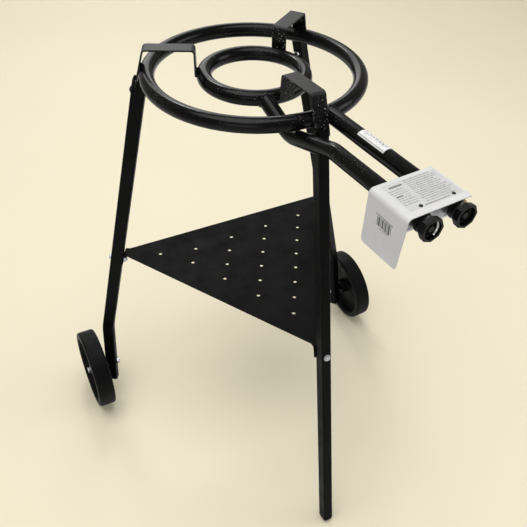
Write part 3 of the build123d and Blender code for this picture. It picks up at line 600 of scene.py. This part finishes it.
# ------------------------------------------------------------------ sticker on the right pipe
def on_pipe(y, degrees, lift):
    """A point lifted off the right pipe (mm), by angle round it from +X."""
    a, r = math.radians(degrees), PIPE_R * 1000 + lift
    return box_mm(PIPE_X * 1000 + r * math.cos(a), y, r * math.sin(a))


def pipe_sticker():
    around, along = 22, 36
    verts = [on_pipe(y, degrees, lift=0.10)
             for degrees in steps(28, 138, around) for y in steps(-273.5, -337, along)]
    faces = []
    for i in range(around):
        for j in range(along):
            b = i * (along + 1) + j
            faces.append((b, b + 1, b + along + 2, b + along + 1))
    sticker = mesh_obj("pipe_sticker", verts, faces, sticker_film(), "stand")
    sticker.modifiers.new("thick", "SOLIDIFY").thickness = 0.0001


def pipe_sticker_marks():
    """A wavy broken band along the sticker and a plain line beside it."""
    lift = 0.33
    marks = []
    for j in range(26):
        if j % 4 == 3:
            continue
        y = -280 - j * 1.95
        low = 76 + 5 * math.sin(j * 0.9)
        wave = 6 * math.sin(j * 1.7)
        corners = ((y, low), (y - 1.5, low + 2), (y - 1.5, low + 20 + wave), (y, low + 18 + wave))
        marks.append([on_pipe(*corner, lift) for corner in corners])
    for y in (-275.5 - j * 2.0 for j in range(30)):
        corners = ((y, 124), (y - 2.0, 124), (y - 2.0, 127), (y, 127))
        marks.append([on_pipe(*corner, lift) for corner in corners])
    card("pipe_sticker_marks", marks, ink("sticker ink", 70))


# ------------------------------------------------------------------ knob marks
def knob_marks():
    """A bright crescent in each knob's dish and three ticks opposite it (mm)."""
    rim_r, rim_y = 13.35, -501.1
    flare_r, flare_y = 13.95, -504.1
    tick_r, tick_length, tick_pitch, tick_half, tick_y = 6.4, 1.3, 2.3, 0.5, -499.25
    spans = 40
    silver = metal("knob silver", grey(215), rough=0.25, stain=0.1)
    knob_x = PIPE_X * 1000
    # name, knob axis x, crescent start and end in degrees from +X
    for name, x, first, last in (("left", -knob_x, -62, 62), ("right", knob_x, 40, 165)):
        verts, faces = [], []
        for t in steps(0, 1, spans):
            a = math.radians(first + (last - first) * t)
            width = 0.35 + 1.25 * math.sin(math.pi * (t * 0.9 + 0.05))
            for r, y in ((rim_r - width, rim_y), (rim_r, rim_y), (flare_r, flare_y)):
                verts.append(box_mm(x + r * math.cos(a), y, r * math.sin(a)))
        for b in range(0, spans * 3, 3):
            faces += [(b, b + 1, b + 4, b + 3), (b + 1, b + 2, b + 5, b + 4)]
        mesh_obj(f"knob_mark_{name}", verts, faces, silver, f"knob_{name}")

        opposite = math.radians((first + last) / 2 + 180)
        cos, sin = math.cos(opposite), math.sin(opposite)
        ticks = []
        for i in range(3):
            r0 = tick_r + i * tick_pitch
            r1 = r0 + tick_length
            corners = ((r0, tick_half), (r1, tick_half), (r1, -tick_half), (r0, -tick_half))
            ticks.append([box_mm(x + r * cos - w * sin, tick_y, r * sin + w * cos)
                          for r, w in corners])
        card(f"knob_ticks_{name}", ticks, silver, f"knob_{name}")


# ------------------------------------------------------------------ wheels and foot
def wheel_mould_marks():
    """Two thin ridges across each wheel's tread."""
    ridge_r, ridge_half = 0.0929, 0.0135
    forward = Vector((0, 1, 0))
    # name, outward side, lean in degrees, wheel centre x and y from the ring axis
    for name, side, lean, x, y in (("left", -1, 0.5, -0.350, 0.160),
                                   ("right", 1, 4.8, 0.355, 0.150)):
        cos, sin = math.cos(math.radians(lean)), math.sin(math.radians(lean))
        centre = Vector((x, y, 0.088 * cos + 0.014 * sin + 0.005)) + RING_AXIS
        axle = Vector((side * cos, 0, sin))
        up = axle.cross(forward) * side
        for i, degrees in enumerate((-152, 28)):
            a = math.radians(degrees)
            radial = forward * math.cos(a) + up * math.sin(a)
            path = [centre + axle * across + radial * ridge_r
                    for across in steps(-ridge_half, ridge_half, 19)]
            verts, faces = tube(path, 0.0009, closed=False, ripple=0.0, seed=60 + i)
            mesh_obj(f"wheel_{name}_mould_{i}", verts, faces, MATS["wheel_plastic"],
                     f"wheel_{name}")


def domed_foot():
    """Superellipse sections shrinking down the leg, flattened where they meet the floor."""
    leg_top = Vector((0.0198, -0.2019, RING_Z - 0.030)) + RING_AXIS
    down = Vector((-0.0408, -0.1931, -0.830)).normalized()
    cap_z, dome = 0.0094, 0.0096
    half_depth, half_width = 0.0127, 0.0102
    seg, rows = 64, 26
    outward = down.cross(Vector((1, 0, 0))).normalized()
    sideways = down.cross(outward).normalized()
    cap_top = leg_top + down * ((cap_z - leg_top.z) / down.z)
    verts = []
    for q in steps(0, 1, rows):
        depth = dome * math.sin(q * math.pi / 2)
        shrink = max(0.0, 1 - (depth / dome) ** 2.1) ** (1 / 2.1)
        power = 5.0 - 2.6 * q
        for j in range(seg):
            angle = 2 * math.pi * j / seg
            cos, sin = math.cos(angle), math.sin(angle)
            r = (abs(cos) ** power + abs(sin) ** power) ** (-1 / power)
            point = (cap_top + down * depth + outward * (half_depth * shrink * r * cos)
                     + sideways * (half_width * shrink * r * sin))
            point.z = max(point.z, 0.0)
            verts.append(point)
    faces = band_faces(rows, rows + 1, seg)
    verts.append(cap_top)
    faces += [(len(verts) - 1, (j + 1) % seg, j) for j in range(seg)]
    foot = mesh_obj("domed_foot", verts, faces, MATS["cap_plastic"], "stand")
    bm = bmesh.new()
    bm.from_mesh(foot.data)
    bmesh.ops.remove_doubles(bm, verts=bm.verts, dist=1e-6)
    bmesh.ops.recalc_face_normals(bm, faces=bm.faces)
    bm.to_mesh(foot.data)
    bm.free()
    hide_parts("foot_cap")


# ------------------------------------------------------------------ studio
def studio_floor():
    """Floor that curves up into a backdrop behind the stand."""
    half_width, level, wall_top = 30.0, -0.0008, 20.0
    bend_y, bend_r = 6.0, 3.0
    profile = [(-half_width, level)]
    for i in range(25):
        a = math.pi / 2 * i / 24
        profile.append((bend_y + bend_r * math.sin(a), level + bend_r * (1 - math.cos(a))))
    profile.append((bend_y + bend_r, wall_top))
    verts = [(x, y, z) for y, z in profile for x in (-half_width, half_width)]
    faces = [(2 * i, 2 * i + 1, 2 * i + 3, 2 * i + 2) for i in range(len(profile) - 1)]
    mesh = bpy.data.meshes.new("floor")
    mesh.from_pydata(verts, [], faces)
    for face in mesh.polygons:
        face.use_smooth = True
    floor = bpy.data.objects.new("floor", mesh)
    scene.collection.objects.link(floor)
    mesh.materials.append(floor_paint())


def studio_world():
    """Soft warm white, dimmer in reflections."""
    plain_strength, glossy_strength = 0.50, 0.22
    world = bpy.data.worlds.new("studio")
    scene.world = world
    world.use_nodes = True
    tree = world.node_tree
    background = tree.nodes["Background"]
    background.inputs[0].default_value = (1.0, 0.99, 0.97, 1)
    light_path = tree.nodes.new("ShaderNodeLightPath")
    strength = tree.nodes.new("ShaderNodeMapRange")
    strength.inputs[3].default_value = plain_strength
    strength.inputs[4].default_value = glossy_strength
    tree.links.new(light_path.outputs["Is Glossy Ray"], strength.inputs[0])
    tree.links.new(strength.outputs[0], background.inputs[1])


def area(name, loc, target, size, power, color=(1, 1, 1)):
    """Square area light; loc and target are measured from the ring axis."""
    light = bpy.data.lights.new(name, "AREA")
    light.energy = power
    light.color = color
    light.shape = "RECTANGLE"
    light.size = light.size_y = size
    obj = bpy.data.objects.new(name, light)
    obj.location = Vector(loc) + RING_AXIS
    aim = Vector(target) - Vector(loc)
    obj.rotation_euler = aim.to_track_quat("-Z", "Y").to_euler()
    scene.collection.objects.link(obj)


def studio_lights():
    cool = (0.97, 0.985, 1)
    area("key", loc=(-0.6, -0.3, 3.6), target=(0, -0.1, 0.6), size=2.6, power=68,
         color=(1, 0.995, 0.98))
    area("right", loc=(3.2, -1.6, 2.2), target=(0, 0, 0.6), size=2.0, power=30, color=cool)
    area("back", loc=(0.8, 3.4, 2.4), target=(0, 0, 0.7), size=2.4, power=38)
    area("front_fill", loc=(-2.4, -3.0, 1.6), target=(0, 0, 0.5), size=2.2, power=16,
         color=cool)
    area("sparkle", loc=(0.2, 1.9, 2.6), target=(0, 0, 0.86), size=0.35, power=9)


def studio_camera():
    """Looks down from the front left, slightly rolled."""
    azimuth, elevation, roll = (math.radians(a) for a in (-30.750, 40.762, 3.153))
    x, y, z = -0.504765, -1.045342, 0.550659     # from the ring axis at RING_Z
    back = Vector((math.sin(azimuth) * math.cos(elevation),
                   -math.cos(azimuth) * math.cos(elevation), math.sin(elevation)))
    level_right = (-back).cross(Vector((0, 0, 1))).normalized()
    level_up = level_right.cross(-back).normalized()
    cos, sin = math.cos(roll), math.sin(roll)
    right = level_right * cos + level_up * sin
    up = level_right * -sin + level_up * cos
    data = bpy.data.cameras.new("camera")
    data.sensor_width = 36
    data.sensor_fit = "HORIZONTAL"
    data.lens = 48.0494118
    data.shift_x = -0.07165844
    data.shift_y = 0.00708729
    data.clip_start = 0.05
    data.clip_end = 100
    camera = bpy.data.objects.new("camera", data)
    camera.matrix_world = Matrix((
        (right.x, up.x, back.x, x + RING_AXIS.x),
        (right.y, up.y, back.y, y + RING_AXIS.y),
        (right.z, up.z, back.z, z + RING_Z),
        (0, 0, 0, 1)))
    scene.collection.objects.link(camera)
    scene.camera = camera


for build in (paint_cad, weld_outer_pipe, weld_inner_pipe, weld_brackets, cover_print,
              cover_label, side_mark, pipe_sticker, pipe_sticker_marks, knob_marks,
              wheel_mould_marks, domed_foot, studio_floor, studio_world, studio_lights,
              studio_camera):
    build()
scene.view_settings.view_transform = "Standard"
scene.view_settings.look = "None"

bpy.context.view_layer.update()
